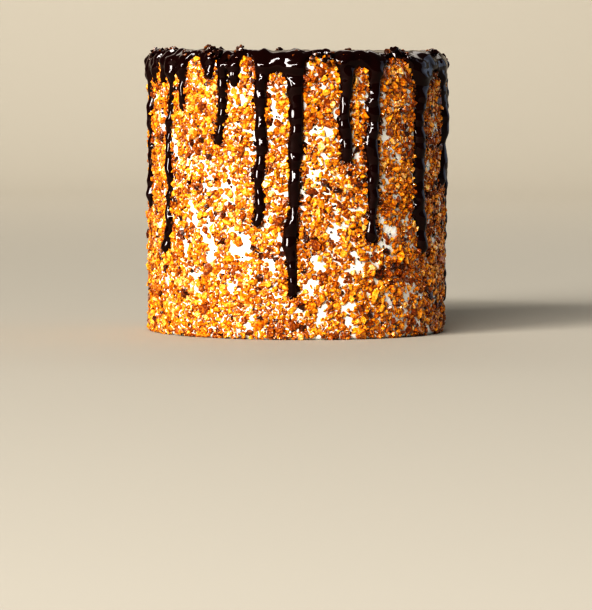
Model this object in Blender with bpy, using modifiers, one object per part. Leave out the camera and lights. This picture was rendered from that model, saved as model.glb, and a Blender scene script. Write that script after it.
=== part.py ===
"""A tall round cake, uncut, standing on its base.

Its wall is spread with white cream and coated in praline crumbs. Dark chocolate is poured over the
top, and runs down the wall in long and short drips. Metres, +Z up, the origin under the middle of
the base, and the side with the longest run of chocolate facing -Y.
"""

import math
import random
from collections import namedtuple

import bmesh
import bpy
from mathutils import Euler, Matrix, Vector

# The cake under its crumbs: cream spread smooth, with a rounded shoulder and a small round at the base.
CREAM_RADIUS = 0.0810
CREAM_HEIGHT = 0.1522
CREAM_SHOULDER = 0.0060
BASE_ROUND = 0.0025
WALL_SEGMENTS = 60
WALL_RINGS = 3
SHOULDER_STEPS = 3

# The largest crumbs of the praline coat, which are fused to the wall: chips that lie nearly flat.
CRUMB_COUNT = 370
CRUMB_SMALLEST = 0.0042
CRUMB_LARGEST = 0.0064
CRUMB_FLATNESS = 0.62
CRUMB_PROUD = 0.0004
CRUMB_ROUGHNESS = 0.11
CRUMB_REACH = 0.66
CRUMB_SPACING = 0.0100
CRUMB_TRIES = 90
CRUMB_SEED = 11

# The poured chocolate: how thick it lies, and the gap that keeps it clear of the cream.
CHOCOLATE_THICK = 0.0029
CHOCOLATE_GAP = 0.0003
CHOCOLATE_SEGMENTS = 80
# From the flat top out to the chocolate's edge, as shares of the way: how thick it lies, as a share of
# its thickness. The edge dips into the cream, so that it thins out to nothing where the two meet.
POOL_PROFILE = [(0.0, 1.0), (0.35, 1.0), (0.60, 1.0), (0.80, 0.90), (0.93, 0.62), (1.0, -0.35)]
POOL_FLOOR = 0.1300
# The edge hangs lower where it feeds a run, in a funnel that takes up this share of the way to the next.
FUNNEL_DEPTH = 0.0075
FUNNEL_SHARE = 0.80

# Each run of chocolate: its angle round the wall from the front, in degrees to the right, the height
# of its tip, its width, how far the tip leans to the right in degrees, and the height that the
# chocolate's edge rises to between this run and the next. A run may swell at one height, and may come
# out of a deeper funnel.
Run = namedtuple("Run", "angle tip width lean arch swell_height swell funnel", defaults=(0.0, 0.0, FUNNEL_DEPTH))
FRONT_RUNS = [
    Run(-79.0, 0.0677, 0.0054, 0.0, 0.1430, 0.0720, 0.25),
    Run(-70.5, 0.1420, 0.0050, 0.0, 0.1508),
    Run(-62.0, 0.1405, 0.0056, 0.0, 0.1435),
    Run(-57.0, 0.0432, 0.0058, -4.0, 0.1465, 0.1150, 0.12),
    Run(-50.3, 0.1227, 0.0050, 0.0, 0.1512),
    Run(-36.6, 0.1395, 0.0062, 0.0, 0.1500),
    Run(-30.0, 0.1041, 0.0054, -1.0, 0.1440, 0.1090, 0.15),
    Run(-24.8, 0.1345, 0.0052, 0.0, 0.1512),
    Run(-14.0, 0.0609, 0.0072, -1.0, 0.1430),
    Run(-1.3, 0.0224, 0.0078, 0.0, 0.1514, 0.0540, 0.30),
    Run(19.0, 0.0953, 0.0062, 0.5, 0.1460),
    Run(31.0, 0.0523, 0.0072, -1.5, 0.1508, 0.1230, 0.25),
    Run(56.0, 0.0435, 0.0074, 0.0, 0.1440, 0.0680, 0.25, 0.0135),
    Run(78.5, 0.0810, 0.0070, 0.0, 0.1500, 0.0905, 0.60),
    Run(93.5, 0.0157, 0.0050, 0.0, 0.1505, 0.0220, 0.20),
]

# The runs at the back follow the same habits: close together, and long and short by turns.
BACK_SEED = 5
BACK_END = 281.0
BACK_SPACING = (9.0, 20.0)
BACK_LONG_CHANCE = 0.62
BACK_LONG_TIPS = (0.025, 0.075)
BACK_SHORT_TIPS = (0.090, 0.140)
BACK_WIDTHS = (0.0050, 0.0074)
BACK_ARCHES = (0.1435, 0.1512)

# How a run is drawn: a round tube, half sunk in the wall, or further where it would stand too proud.
RUN_PROUD = 0.0031
RUN_STEP = 0.0165
RUN_SWAY = 0.6
RUN_SWAY_WAVE = 0.042
RUN_WAIST = 0.90
TIP_REACH = 0.030
SWELL_REACH = 0.0075
# The round tip, from its lowest point up: heights and widths as shares of the run's half width.
TIP_STOPS = [(0.40, 0.80), (0.06, 0.40)]

# Crumbs under the chocolate's rim, which stand up as small lumps.
RIM_LUMP_ANGLES = [-66.0, -37.5, -33.0, -22.5, 12.0, 44.0, 72.0]
RIM_LUMP_ANGLES += [104.0, 131.0, 158.0, 187.0, 214.0, 243.0, 268.0]
RIM_LUMP_RADII = (0.0021, 0.0029)
RIM_LUMP_REACH = 0.0765
RIM_LUMP_SINK = 0.75
RIM_LUMP_UNEVEN = 0.12
RIM_LUMP_SEED = 3

TOP_FLAT = CREAM_RADIUS - CREAM_SHOULDER
SHOULDER_FOOT = CREAM_HEIGHT - CREAM_SHOULDER
SHOULDER_ARC = CREAM_SHOULDER * math.pi / 2
RUN_TOP = SHOULDER_FOOT + CREAM_SHOULDER / 3


def smooth(share):
    """A share from 0 to 1, eased at both ends."""
    share = min(1.0, max(0.0, share))
    return share * share * (3 - 2 * share)


def on_cream(distance, angle, lift):
    """The point that is this far from the top's centre, measured along the cream, and this far off it."""
    if distance < TOP_FLAT:
        radius, height = distance, CREAM_HEIGHT + lift
    elif distance < TOP_FLAT + SHOULDER_ARC:
        turn = (distance - TOP_FLAT) / CREAM_SHOULDER
        radius = TOP_FLAT + (CREAM_SHOULDER + lift) * math.sin(turn)
        height = SHOULDER_FOOT + (CREAM_SHOULDER + lift) * math.cos(turn)
    else:
        radius = CREAM_RADIUS + lift
        height = SHOULDER_FOOT + TOP_FLAT + SHOULDER_ARC - distance
    return Vector((radius * math.sin(angle), -radius * math.cos(angle), height))


def distance_at(height):
    """The distance along the cream at which its shoulder or wall has this height."""
    if height > SHOULDER_FOOT:
        return TOP_FLAT + CREAM_SHOULDER * math.acos((height - SHOULDER_FOOT) / CREAM_SHOULDER)
    return TOP_FLAT + SHOULDER_ARC + SHOULDER_FOOT - height


def all_runs():
    """The runs round the whole cake, by angle: those at the front, then those made up for the back."""
    pick = random.Random(BACK_SEED)
    runs = list(FRONT_RUNS)
    angle = FRONT_RUNS[-1].angle + pick.uniform(*BACK_SPACING)
    long_turn = False
    while angle < BACK_END - BACK_SPACING[0]:
        tip = pick.uniform(*(BACK_LONG_TIPS if long_turn else BACK_SHORT_TIPS))
        width = pick.uniform(*BACK_WIDTHS)
        runs.append(Run(angle, tip, width, pick.uniform(-2.0, 2.0), pick.uniform(*BACK_ARCHES)))
        long_turn = pick.random() < BACK_LONG_CHANCE or not long_turn
        angle += pick.uniform(*BACK_SPACING)
    return runs


RUNS = all_runs()


def edge_height(angle):
    """Height of the chocolate's lower edge at this angle in degrees, apart from the runs themselves."""
    first = RUNS[0].angle
    angle = first + (angle - first) % 360
    for index, run in enumerate(RUNS):
        after = RUNS[(index + 1) % len(RUNS)].angle + (360 if index + 1 == len(RUNS) else 0)
        if angle <= after:
            reach = (after - run.angle) / 2 * FUNNEL_SHARE
            left = run.funnel * (1 - smooth((angle - run.angle) / reach))
            right = RUNS[(index + 1) % len(RUNS)].funnel * (1 - smooth((after - angle) / reach))
            return run.arch - left - right
    return RUNS[-1].arch


def run_angle(run, height):
    """The angle in radians of a run's middle at this height: it leans and sways as it comes down."""
    share = (CREAM_HEIGHT - height) / max(CREAM_HEIGHT - run.tip, 1e-6)
    sway = RUN_SWAY * math.sin(height / RUN_SWAY_WAVE * math.tau + run.angle) * min(1.0, share * 3)
    return math.radians(run.angle + run.lean * smooth(share) + sway)


def run_radius(run, height):
    """Half the width of a run at this height: a waist below the rim, a swelling, and a full tip."""
    from_tip = (height - run.tip) / TIP_REACH
    waist = RUN_WAIST + (1 - RUN_WAIST) * (1 - smooth(from_tip))
    swell = run.swell * math.exp(-(((height - run.swell_height) / SWELL_REACH) ** 2))
    return run.width / 2 * (waist + swell)


def material(name, colour, roughness):
    made = bpy.data.materials.new(name)
    made.use_nodes = True
    shader = made.node_tree.nodes["Principled BSDF"]
    shader.inputs["Base Color"].default_value = (*colour, 1.0)
    shader.inputs["Roughness"].default_value = roughness
    shader.inputs["Metallic"].default_value = 0.0
    return made


def add_object(name, mesh, collection):
    obj = bpy.data.objects.new(name, mesh)
    collection.objects.link(obj)
    return obj


def add_mesh(name, built, collection):
    """An object made from a finished bmesh, which is freed."""
    mesh = bpy.data.meshes.new(name)
    built.to_mesh(mesh)
    built.free()
    return add_object(name, mesh, collection)


def bake(obj):
    """Replaces the object's mesh by what its modifiers make of it."""
    bpy.context.view_layer.update()
    graph = bpy.context.evaluated_depsgraph_get()
    made = bpy.data.meshes.new_from_object(obj.evaluated_get(graph))
    obj.modifiers.clear()
    obj.data = made
    made.name = obj.name


def join_all(obj, others, solver):
    """Fuses every object of a collection to this one, and removes them."""
    joint = obj.modifiers.new("Join", "BOOLEAN")
    joint.operation = "UNION"
    joint.operand_type = "COLLECTION"
    joint.collection = others
    joint.solver = solver
    bake(obj)
    for other in list(others.objects):
        bpy.data.objects.remove(other)
    bpy.data.collections.remove(others)


def cream_profile(grow):
    """The cream's outline down its outer side, from the middle of the top to the middle of the base."""
    points = [(0.0, CREAM_HEIGHT + grow)]
    for step in range(SHOULDER_STEPS + 1):
        turn = math.pi / 2 * step / SHOULDER_STEPS
        reach = CREAM_SHOULDER + grow
        points.append((TOP_FLAT + reach * math.sin(turn), SHOULDER_FOOT + reach * math.cos(turn)))
    for ring in range(1, WALL_RINGS):
        height = SHOULDER_FOOT + (BASE_ROUND - SHOULDER_FOOT) * ring / WALL_RINGS
        points.append((CREAM_RADIUS + grow, height))
    for turn in (0.0, math.pi / 4, math.pi / 2):
        radius = CREAM_RADIUS - BASE_ROUND + (BASE_ROUND + grow) * math.cos(turn)
        points.append((radius, BASE_ROUND - (BASE_ROUND + grow) * math.sin(turn)))
    points.append((0.0, -grow))
    return points


def turned(name, profile, segments, collection):
    """A solid turned about Z from an outline that starts and ends on the axis."""
    line = bmesh.new()
    corners = [line.verts.new((radius, 0.0, height)) for radius, height in profile]
    for upper, lower in zip(corners, corners[1:]):
        line.edges.new((upper, lower))
    obj = add_mesh(name, line, collection)
    turn = obj.modifiers.new("Turn", "SCREW")
    turn.axis = "Z"
    turn.angle = math.tau
    turn.steps = segments
    turn.render_steps = segments
    turn.use_merge_vertices = True
    turn.merge_threshold = 0.00001
    bake(obj)
    return obj


def clear_of_chocolate(angle, height, reach):
    """Whether a crumb with this reach, at this angle in radians, keeps off the chocolate."""
    aside = reach / CREAM_RADIUS
    if any(height + reach > edge_height(math.degrees(angle + side)) for side in (-aside, 0.0, aside)):
        return False
    for run in RUNS:
        if height + reach < run.tip:
            continue
        apart = (angle - run_angle(run, max(height, run.tip)) + math.pi) % math.tau - math.pi
        widest = run.width / 2 * (1 + run.swell)
        if abs(apart) * CREAM_RADIUS < widest + reach:
            return False
    return True


def crumb_places():
    """Angle, height and size of each fused crumb: the largest first, evenly spread over the bare wall."""
    pick = random.Random(CRUMB_SEED)
    places = []
    for index in range(CRUMB_COUNT):
        size = CRUMB_LARGEST + (CRUMB_SMALLEST - CRUMB_LARGEST) * index / CRUMB_COUNT
        reach = size * CRUMB_REACH
        for _ in range(CRUMB_TRIES):
            angle = pick.uniform(0.0, math.tau)
            height = pick.uniform(reach, SHOULDER_FOOT)
            if not clear_of_chocolate(angle, height, reach + CHOCOLATE_GAP):
                continue
            near = any(
                (CREAM_RADIUS * ((angle - other + math.pi) % math.tau - math.pi)) ** 2
                + (height - above) ** 2
                < CRUMB_SPACING**2
                for other, above, _ in places
            )
            if not near:
                places.append((angle, height, size))
                break
    return places


def add_crumb(name, angle, height, size, pick, collection):
    """One crumb: a chip with six uneven corners, half sunk in the cream and turned any way up."""
    chip = bmesh.new()
    for axis in range(3):
        for side in (-0.5, 0.5):
            corner = Vector(pick.uniform(-CRUMB_ROUGHNESS, CRUMB_ROUGHNESS) for _ in range(3))
            corner[axis] += side
            chip.verts.new(corner * size)
    bmesh.ops.convex_hull(chip, input=chip.verts)
    spin = Euler([pick.uniform(0.0, math.tau) for _ in range(3)]).to_matrix().to_4x4()
    flatten = Matrix.Diagonal((1.0, CRUMB_FLATNESS, 1.0, 1.0))
    out = CREAM_RADIUS + CRUMB_PROUD
    place = Vector((out * math.sin(angle), -out * math.cos(angle), height))
    facing = Matrix.Rotation(angle, 4, "Z")
    bmesh.ops.transform(chip, matrix=Matrix.Translation(place) @ facing @ flatten @ spin, verts=chip.verts)
    return add_mesh(name, chip, collection)


def build_cake(collection):
    """The cream-covered cake with its largest crumbs fused on, as one solid."""
    cake = turned("cake", cream_profile(0.0), WALL_SEGMENTS, collection)
    crumbs = bpy.data.collections.new("crumbs")
    bpy.context.scene.collection.children.link(crumbs)
    pick = random.Random(CRUMB_SEED + 1)
    for index, (angle, height, size) in enumerate(crumb_places()):
        add_crumb(f"crumb_{index:03d}", angle, height, size, pick, crumbs)
    join_all(cake, crumbs, "MANIFOLD")
    cake.data.materials.clear()
    cake.data.materials.append(material("praline_crumbs_on_cream", (0.62, 0.30, 0.07), 0.55))
    cake.data.shade_smooth()
    cake.data.set_sharp_from_angle(angle=math.radians(25))
    return cake


def build_pool(collection):
    """The chocolate on the top and round the rim, closed inside the cream, where it is cut away later."""
    pool = bmesh.new()
    rows = []
    for share, thickness in POOL_PROFILE:
        ring = []
        for segment in range(CHOCOLATE_SEGMENTS):
            angle = math.tau * segment / CHOCOLATE_SEGMENTS
            end = distance_at(edge_height(math.degrees(angle)))
            distance = TOP_FLAT - CREAM_SHOULDER / 2
            distance += share * (end - distance)
            ring.append(pool.verts.new(on_cream(distance, angle, CHOCOLATE_THICK * thickness)))
        rows.append(ring)
    floor = []
    for segment in range(CHOCOLATE_SEGMENTS):
        angle = math.tau * segment / CHOCOLATE_SEGMENTS
        inside = TOP_FLAT * Vector((math.sin(angle), -math.cos(angle), 0.0))
        floor.append(pool.verts.new(inside + Vector((0.0, 0.0, POOL_FLOOR))))
    rows.append(floor)
    for upper, lower in zip(rows, rows[1:]):
        for segment in range(CHOCOLATE_SEGMENTS):
            beside = (segment + 1) % CHOCOLATE_SEGMENTS
            pool.faces.new((upper[segment], lower[segment], lower[beside], upper[beside]))
    pool.faces.new(rows[0])
    pool.faces.new(list(reversed(rows[-1])))
    bmesh.ops.recalc_face_normals(pool, faces=pool.faces)
    return add_mesh("chocolate", pool, collection)


def add_run(name, run, collection):
    """One run of chocolate, as a tube along its path that ends in a round tip."""
    tip_radius = run_radius(run, run.tip)
    full = run.tip + tip_radius
    steps = max(2, round((RUN_TOP - full) / RUN_STEP))
    stops = [(RUN_TOP + (full - RUN_TOP) * step / steps, 1.0) for step in range(steps + 1)]
    if run.swell:
        stops += [(run.swell_height + step * SWELL_REACH / 2, 1.0) for step in (-1, 0, 1)]
        stops = sorted((stop for stop in stops if stop[0] >= full), reverse=True)
    stops += [(run.tip + tip_radius * above, share) for above, share in TIP_STOPS]
    line = bpy.data.curves.new(name, "CURVE")
    line.dimensions = "3D"
    line.bevel_depth = 1.0
    line.bevel_resolution = 2
    line.use_fill_caps = True
    path = line.splines.new("POLY")
    path.points.add(len(stops) - 1)
    for point, (height, share) in zip(path.points, stops):
        angle = run_angle(run, height)
        radius = run_radius(run, height)
        out = CREAM_RADIUS + min(0.0, RUN_PROUD - radius) - max(0.0, height - SHOULDER_FOOT)
        point.co = (out * math.sin(angle), -out * math.cos(angle), height, 1.0)
        point.radius = share * radius
    tube = add_object(name, line, collection)
    bpy.context.view_layer.update()
    graph = bpy.context.evaluated_depsgraph_get()
    mesh = bpy.data.meshes.new_from_object(tube.evaluated_get(graph))
    bpy.data.objects.remove(tube)
    skin = bmesh.new()
    skin.from_mesh(mesh)
    bmesh.ops.remove_doubles(skin, verts=skin.verts, dist=0.00002)
    bmesh.ops.recalc_face_normals(skin, faces=skin.faces)
    bpy.data.meshes.remove(mesh)
    return add_mesh(name, skin, collection)


def add_rim_lump(name, angle, radius, pick, collection):
    """A crumb under the chocolate at the rim: a small round lump with uneven corners."""
    lump = bmesh.new()
    bmesh.ops.create_icosphere(lump, subdivisions=1, radius=radius)
    for corner in lump.verts:
        corner.co *= 1 + pick.uniform(-RIM_LUMP_UNEVEN, RIM_LUMP_UNEVEN)
    place = on_cream(RIM_LUMP_REACH, math.radians(angle), CHOCOLATE_THICK * RIM_LUMP_SINK)
    bmesh.ops.translate(lump, vec=place, verts=lump.verts)
    return add_mesh(name, lump, collection)


def build_chocolate(collection, cutters):
    """The poured chocolate with its runs and lumps as one solid, cut to lie just off the cream."""
    chocolate = build_pool(collection)
    added = bpy.data.collections.new("runs")
    bpy.context.scene.collection.children.link(added)
    for index, run in enumerate(RUNS):
        add_run(f"run_{index:02d}", run, added)
    pick = random.Random(RIM_LUMP_SEED)
    for index, angle in enumerate(RIM_LUMP_ANGLES):
        add_rim_lump(f"lump_{index:02d}", angle, pick.uniform(*RIM_LUMP_RADII), pick, added)
    join_all(chocolate, added, "EXACT")
    cutter = turned("cream_outline", cream_profile(CHOCOLATE_GAP), WALL_SEGMENTS, cutters)
    cutter.hide_render = True
    cutter.display_type = "WIRE"
    cut = chocolate.modifiers.new("Lie on the cream", "BOOLEAN")
    cut.operation = "DIFFERENCE"
    cut.object = cutter
    cut.solver = "EXACT"
    bake(chocolate)
    chocolate.data.materials.clear()
    chocolate.data.materials.append(material("dark_chocolate", (0.020, 0.007, 0.004), 0.16))
    chocolate.data.shade_smooth()
    chocolate.data.set_sharp_from_angle(angle=math.radians(50))
    return chocolate


def main():
    for obj in list(bpy.data.objects):
        bpy.data.objects.remove(obj)
    parts = bpy.data.collections.new("drip_cake")
    cutters = bpy.data.collections.new("cutters")
    bpy.context.scene.collection.children.link(parts)
    bpy.context.scene.collection.children.link(cutters)
    build_cake(parts)
    build_chocolate(parts, cutters)


main()
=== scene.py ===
import math
import random
from collections import namedtuple

import bmesh
import bpy
import numpy as np
from mathutils import Matrix, Vector, noise


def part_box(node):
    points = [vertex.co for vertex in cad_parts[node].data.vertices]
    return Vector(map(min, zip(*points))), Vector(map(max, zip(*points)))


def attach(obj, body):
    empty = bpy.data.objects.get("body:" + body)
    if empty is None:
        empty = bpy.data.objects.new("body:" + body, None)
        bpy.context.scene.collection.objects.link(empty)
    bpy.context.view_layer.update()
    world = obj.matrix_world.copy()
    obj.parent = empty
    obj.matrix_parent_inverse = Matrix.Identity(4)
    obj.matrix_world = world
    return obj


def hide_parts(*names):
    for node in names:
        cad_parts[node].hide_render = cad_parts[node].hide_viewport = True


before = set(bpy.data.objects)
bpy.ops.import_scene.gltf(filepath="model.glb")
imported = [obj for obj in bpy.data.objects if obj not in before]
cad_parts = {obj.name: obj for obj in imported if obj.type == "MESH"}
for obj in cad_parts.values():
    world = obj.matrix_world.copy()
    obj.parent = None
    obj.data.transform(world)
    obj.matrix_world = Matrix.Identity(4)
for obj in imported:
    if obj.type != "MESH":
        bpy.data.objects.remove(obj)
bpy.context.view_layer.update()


# The cream coat. White whipped cream, spread round the filled cake with a long knife, so that its wall
# is smooth but not quite even, with a rounded shoulder and foot. It is one turned skin from the middle
# of the top to the middle of the base, and it shows where the crumbs leave gaps.
CREAM_RADIUS = 0.0810
CREAM_SHOULDER = 0.0060
CREAM_FOOT = 0.0025
CREAM_SEGMENTS = 200
CREAM_ROW = 0.0026
TOP_RINGS = 8
SHOULDER_RINGS = 7
FOOT_RINGS = 5
SAME_POINT = 0.00001
CREAM_WAVE = 0.011
CREAM_WAVE_HEIGHT = 0.00045
FINER_WAVE = 2.7
FINER_WAVE_SHARE = 0.4
CREAM_WHITE = (0.90, 0.86, 0.78)

cream_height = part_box("cake")[1].z
top_flat = CREAM_RADIUS - CREAM_SHOULDER
shoulder_foot = cream_height - CREAM_SHOULDER
shoulder_arc = CREAM_SHOULDER * math.pi / 2
wall_start = top_flat + shoulder_arc


def cream_outline():
    """Radius and height down the cream's outer side, from the middle of the top to the base's middle."""
    points = [(radius, cream_height) for radius in np.linspace(0.0, top_flat, TOP_RINGS)[:-1]]
    for turn in np.linspace(0.0, math.pi / 2, SHOULDER_RINGS):
        across, up = CREAM_SHOULDER * math.sin(turn), CREAM_SHOULDER * math.cos(turn)
        points.append((top_flat + across, shoulder_foot + up))
    rows = round((shoulder_foot - CREAM_FOOT) / CREAM_ROW)
    for height in np.linspace(shoulder_foot, CREAM_FOOT, rows + 1)[1:-1]:
        points.append((CREAM_RADIUS, height))
    for turn in np.linspace(0.0, math.pi / 2, FOOT_RINGS):
        points.append((CREAM_RADIUS - CREAM_FOOT * (1 - math.cos(turn)), CREAM_FOOT * (1 - math.sin(turn))))
    return points + [(0.0, 0.0)]


def two_waves(point):
    """Noise from about -1 to 1: one wave as long as the unit, and a finer and lower one on it."""
    return noise.noise(point) + FINER_WAVE_SHARE * noise.noise(point * FINER_WAVE)


def smooth_mesh(name, form):
    """The smooth shaded mesh made from a bmesh."""
    mesh = bpy.data.meshes.new(name)
    form.to_mesh(mesh)
    form.free()
    mesh.shade_smooth()
    return mesh


def finished_piece(name, mesh, finish):
    """The object made from a mesh, riding on the cake's one body, with its finish."""
    mesh.materials.append(finish)
    piece = bpy.data.objects.new(name, mesh)
    bpy.context.scene.collection.objects.link(piece)
    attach(piece, "root")
    return piece


def new_material(name, roughness, **inputs):
    """A Principled material, with its shader node and its node tree."""
    made = bpy.data.materials.new(name)
    made.use_nodes = True
    shader = made.node_tree.nodes["Principled BSDF"]
    shader.inputs["Roughness"].default_value = roughness
    for label, value in inputs.items():
        shader.inputs[label.replace("_", " ")].default_value = value
    return made, shader, made.node_tree


def add_node(tree, kind, **settings):
    """A node of this kind: a setting goes on the node where it has one of that name, else on its input."""
    node = tree.nodes.new(kind)
    for label, value in settings.items():
        if hasattr(node, label):
            setattr(node, label, value)
        else:
            node.inputs[label.replace("_", " ")].default_value = value
    return node


def add_relief(tree, shader, scale, depth, detail=3.0):
    """Fine unevenness from noise, as bump under everything that the mesh already shapes."""
    place = add_node(tree, "ShaderNodeTexCoord")
    grain = add_node(tree, "ShaderNodeTexNoise", Scale=scale, Detail=detail)
    bump = add_node(tree, "ShaderNodeBump", Strength=1.0, Distance=depth)
    tree.links.new(place.outputs["Object"], grain.inputs["Vector"])
    tree.links.new(grain.outputs["Fac"], bump.inputs["Height"])
    tree.links.new(bump.outputs["Normal"], shader.inputs["Normal"])


cream_white, cream_shader, cream_tree = new_material(
    "whipped_cream",
    0.55,
    Subsurface_Weight=0.35,
    Subsurface_Radius=(0.004, 0.003, 0.002),
    Subsurface_Scale=1.0,
)
cream_shader.inputs["Base Color"].default_value = (*CREAM_WHITE, 1.0)
add_relief(cream_tree, cream_shader, scale=420.0, depth=0.0004)

cream = bmesh.new()
outline = [cream.verts.new((radius, 0.0, height)) for radius, height in cream_outline()]
outline_edges = [cream.edges.new(pair) for pair in zip(outline, outline[1:])]
bmesh.ops.spin(
    cream,
    geom=outline + outline_edges,
    cent=(0.0, 0.0, 0.0),
    axis=(0.0, 0.0, 1.0),
    angle=math.tau,
    steps=CREAM_SEGMENTS,
    use_merge=True,
)
bmesh.ops.remove_doubles(cream, verts=cream.verts, dist=SAME_POINT)
bmesh.ops.recalc_face_normals(cream, faces=cream.faces)
cream.normal_update()
for corner in cream.verts:
    if corner.co.z > CREAM_FOOT:
        corner.co += corner.normal * two_waves(corner.co / CREAM_WAVE) * CREAM_WAVE_HEIGHT
cream_coat = finished_piece("cream_coat", smooth_mesh("cream_coat", cream), cream_white)
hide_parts("cake")


# The chocolate. Dark chocolate and cream, poured warm over the middle of the top and pushed to the rim,
# where it runs down over the crumbs in thick and thin runs and sets glossy. It is one skin, as thick
# as it lies at each point of the cream, and it is lumpy with the crumbs under it.
CHOCOLATE_THICK = 0.0029
CHOCOLATE_LIP = 0.0034
CHOCOLATE_UNDER = 0.0014
CHOCOLATE_SUNK = 0.0010
CHOCOLATE_BLEND = 0.0012
CHOCOLATE_COLUMNS = 680
CHOCOLATE_ROWS = 172
# How far from the middle of the top each share of the rows lies: few on the flat, most at the rim.
ROW_SHARES = (0.0, 0.07, 0.26, 1.0)
ROW_DISTANCES = (0.0, 0.068, 0.092, 0.222)
FUNNEL_DEPTH = 0.0075
FUNNEL_SHARE = 0.80
EDGE_RIPPLE = 0.0007
EDGE_RIPPLES = (131, 83, 211)
RUN_PROUD = 0.0038
RUN_FULLNESS = 0.98
RUN_START = 0.0765
RUN_RISE = 0.0070
LUMP_SPACING = 0.0046
LUMP_REACH = 0.55
LUMP_HEIGHT = 0.00095
LUMP_VARIETY = 7.3
LUMP_SHIFT = Vector((0.5, 0.5, 0.5))
LUMPY_FROM = 0.066
LUMPY_TO = 0.094
LUMPY_FADE = 0.012
LUMPS_ON_RUNS = 0.55
SKIN_WAVE = 0.0100
SKIN_WAVE_RISE = 1.8
SKIN_WAVE_HEIGHT = 0.0019
SKIN_WAVES_ON_RUNS = 0.80
TOP_WAVE = 0.032
TOP_WAVE_HEIGHT = 0.00055

# Each run: its angle round the wall from the front, in degrees to the right, the height in metres that
# the chocolate's edge rises to between it and the next, and its course downwards, in millimetres: the
# height, how far it lies to the right of its angle there, and its width. It ends at the last height.
Run = namedtuple("Run", "angle arch course")
FRONT_RUNS = [
    Run(-79.0, 0.1430, (
        (146, 0, 7), (130, 0, 5), (117, 0, 6.2), (106, 0, 5), (88, 0, 5.2), (74, 0, 6.2), (67.7, 0, 5),
    )),
    Run(-70.5, 0.1508, ((148, 0, 6), (142, 0, 5))),
    Run(-62.0, 0.1435, ((148, 0, 8), (144, 0, 6), (140.5, 0, 5))),
    Run(-57.0, 0.1465, (
        (144, 1, 8), (138, 1, 4.6), (121.5, -1, 4), (115.5, -2, 6), (108.5, -2.4, 4), (95.5, -2, 5.4),
        (85, -0.4, 5.2), (69.5, -2.4, 4), (62, -1.2, 6), (49.5, -3.6, 6.6), (44.2, -4.8, 5.4),
    )),
    Run(-50.3, 0.1512, (
        (145, 1.6, 6.6), (139, 1.2, 4.6), (135, 0.5, 3.8), (129.5, 1, 4.6), (122.7, 0.4, 4.2),
    )),
    Run(-36.6, 0.1500, ((151, 1.5, 8.2), (147, 1.5, 6.8), (142, 1.8, 5), (139.5, 1.8, 5.4))),
    Run(-30.0, 0.1440, (
        (145, 0.9, 6.4), (129.5, 0.9, 5.2), (119, 0.6, 5.6), (114, -0.3, 4.3), (109, -1.2, 5.4),
        (104.2, -1.2, 4.9),
    )),
    Run(-24.8, 0.1512, ((152, 0.8, 7.6), (147, 0.8, 6.4), (141.5, 0.8, 5.2), (135.3, 0.3, 4.4))),
    Run(-14.0, 0.1430, (
        (146, 1.4, 9), (140.5, 1.2, 7.7), (132, 0, 6.9), (128.5, 0, 7.5), (121, 0, 5.3),
        (112, 0.4, 7.2), (103, 1.2, 6.6), (98, 0.4, 5), (91, -0.6, 6.8), (83, -0.5, 5.2), (71, -0.1, 6),
        (66.5, -0.7, 5.2), (60.4, -1.3, 5.6),
    )),
    Run(-1.3, 0.1514, (
        (146, 1, 12), (137, 1, 8.6), (133, 0.6, 9.2), (127, 1.6, 7.6), (121.2, 1.2, 9), (114, 1.8, 7.3),
        (103, 1.3, 8.7), (91, 1, 6.4), (82, 0.6, 6.9), (68, 0.3, 5), (60.2, -0.9, 8.4), (51.6, -2, 8),
        (43, -0.6, 6), (30, 0.2, 5.1), (22.8, -0.4, 5.4),
    )),
    Run(19.0, 0.1460, (
        (147, -0.3, 10), (134, 0.1, 6.8), (125.4, -1, 6), (119, -1.2, 6.2), (113.6, -1, 7.6),
        (107, 0.2, 6.4), (94.8, 0, 6.2),
    )),
    Run(31.0, 0.1508, (
        (146, 0.4, 9), (134, -0.2, 6.2), (122.6, -1.5, 9.6), (118.3, -0.8, 6), (104, -2.2, 8.8),
        (91, -0.8, 6.8), (83.3, -1.2, 7.4), (75, -0.3, 6.6), (64.5, -1.7, 4.6), (57, -1.8, 6.8),
        (51.7, -1.7, 6),
    )),
    Run(56.0, 0.1440, (
        (151, 0.7, 28), (145.7, 1.3, 24), (141.4, 1.1, 19.5), (137, 0.2, 13), (131.6, -1.1, 9.4),
        (118, -2.9, 6.8), (105.4, -1.9, 8.6), (100, -2.1, 7.2), (94, -2.2, 9.6), (88, -2.8, 6.8),
        (74, -1.6, 8.2), (68, -1.9, 10.2), (58, 0.2, 6.8), (51, 0.7, 7.8), (44.5, 1.1, 6.8),
    )),
    Run(78.5, 0.1500, (
        (147, -2, 15), (137, -1, 11), (120, 0, 8), (101, 0, 7), (92, -0.5, 12), (81, -2.5, 8),
    )),
    Run(93.5, 0.1505, ((148, 0, 6), (110, 0, 5), (70, 0, 6), (40, 0, 4.6), (22, 0, 6), (15.7, 0, 5))),
]
# Runs at the back, which nobody has seen, follow the same habits by chance.
BACK_SEED = 5
BACK_END = 281.0
BACK_SPACING = (9.0, 20.0)
BACK_LONG_CHANCE = 0.62
BACK_LONG_TIPS = (0.025, 0.075)
BACK_SHORT_TIPS = (0.090, 0.140)
BACK_WIDTHS = (0.0050, 0.0074)
BACK_ARCHES = (0.1435, 0.1512)
BACK_LEANS = (-2.0, 2.0)
MM_TO_A_DEGREE = 1.4
BACK_COURSE_TOP = 146.0
BACK_COURSE_TOP_SWELL = 1.4
BACK_COURSE_STEPS = (4.0, 9.0)
BACK_COURSE_SWAY = 0.8
BACK_COURSE_HOLD = 0.6
BACK_COURSE_SWELLS = (0.78, 1.28)


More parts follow.
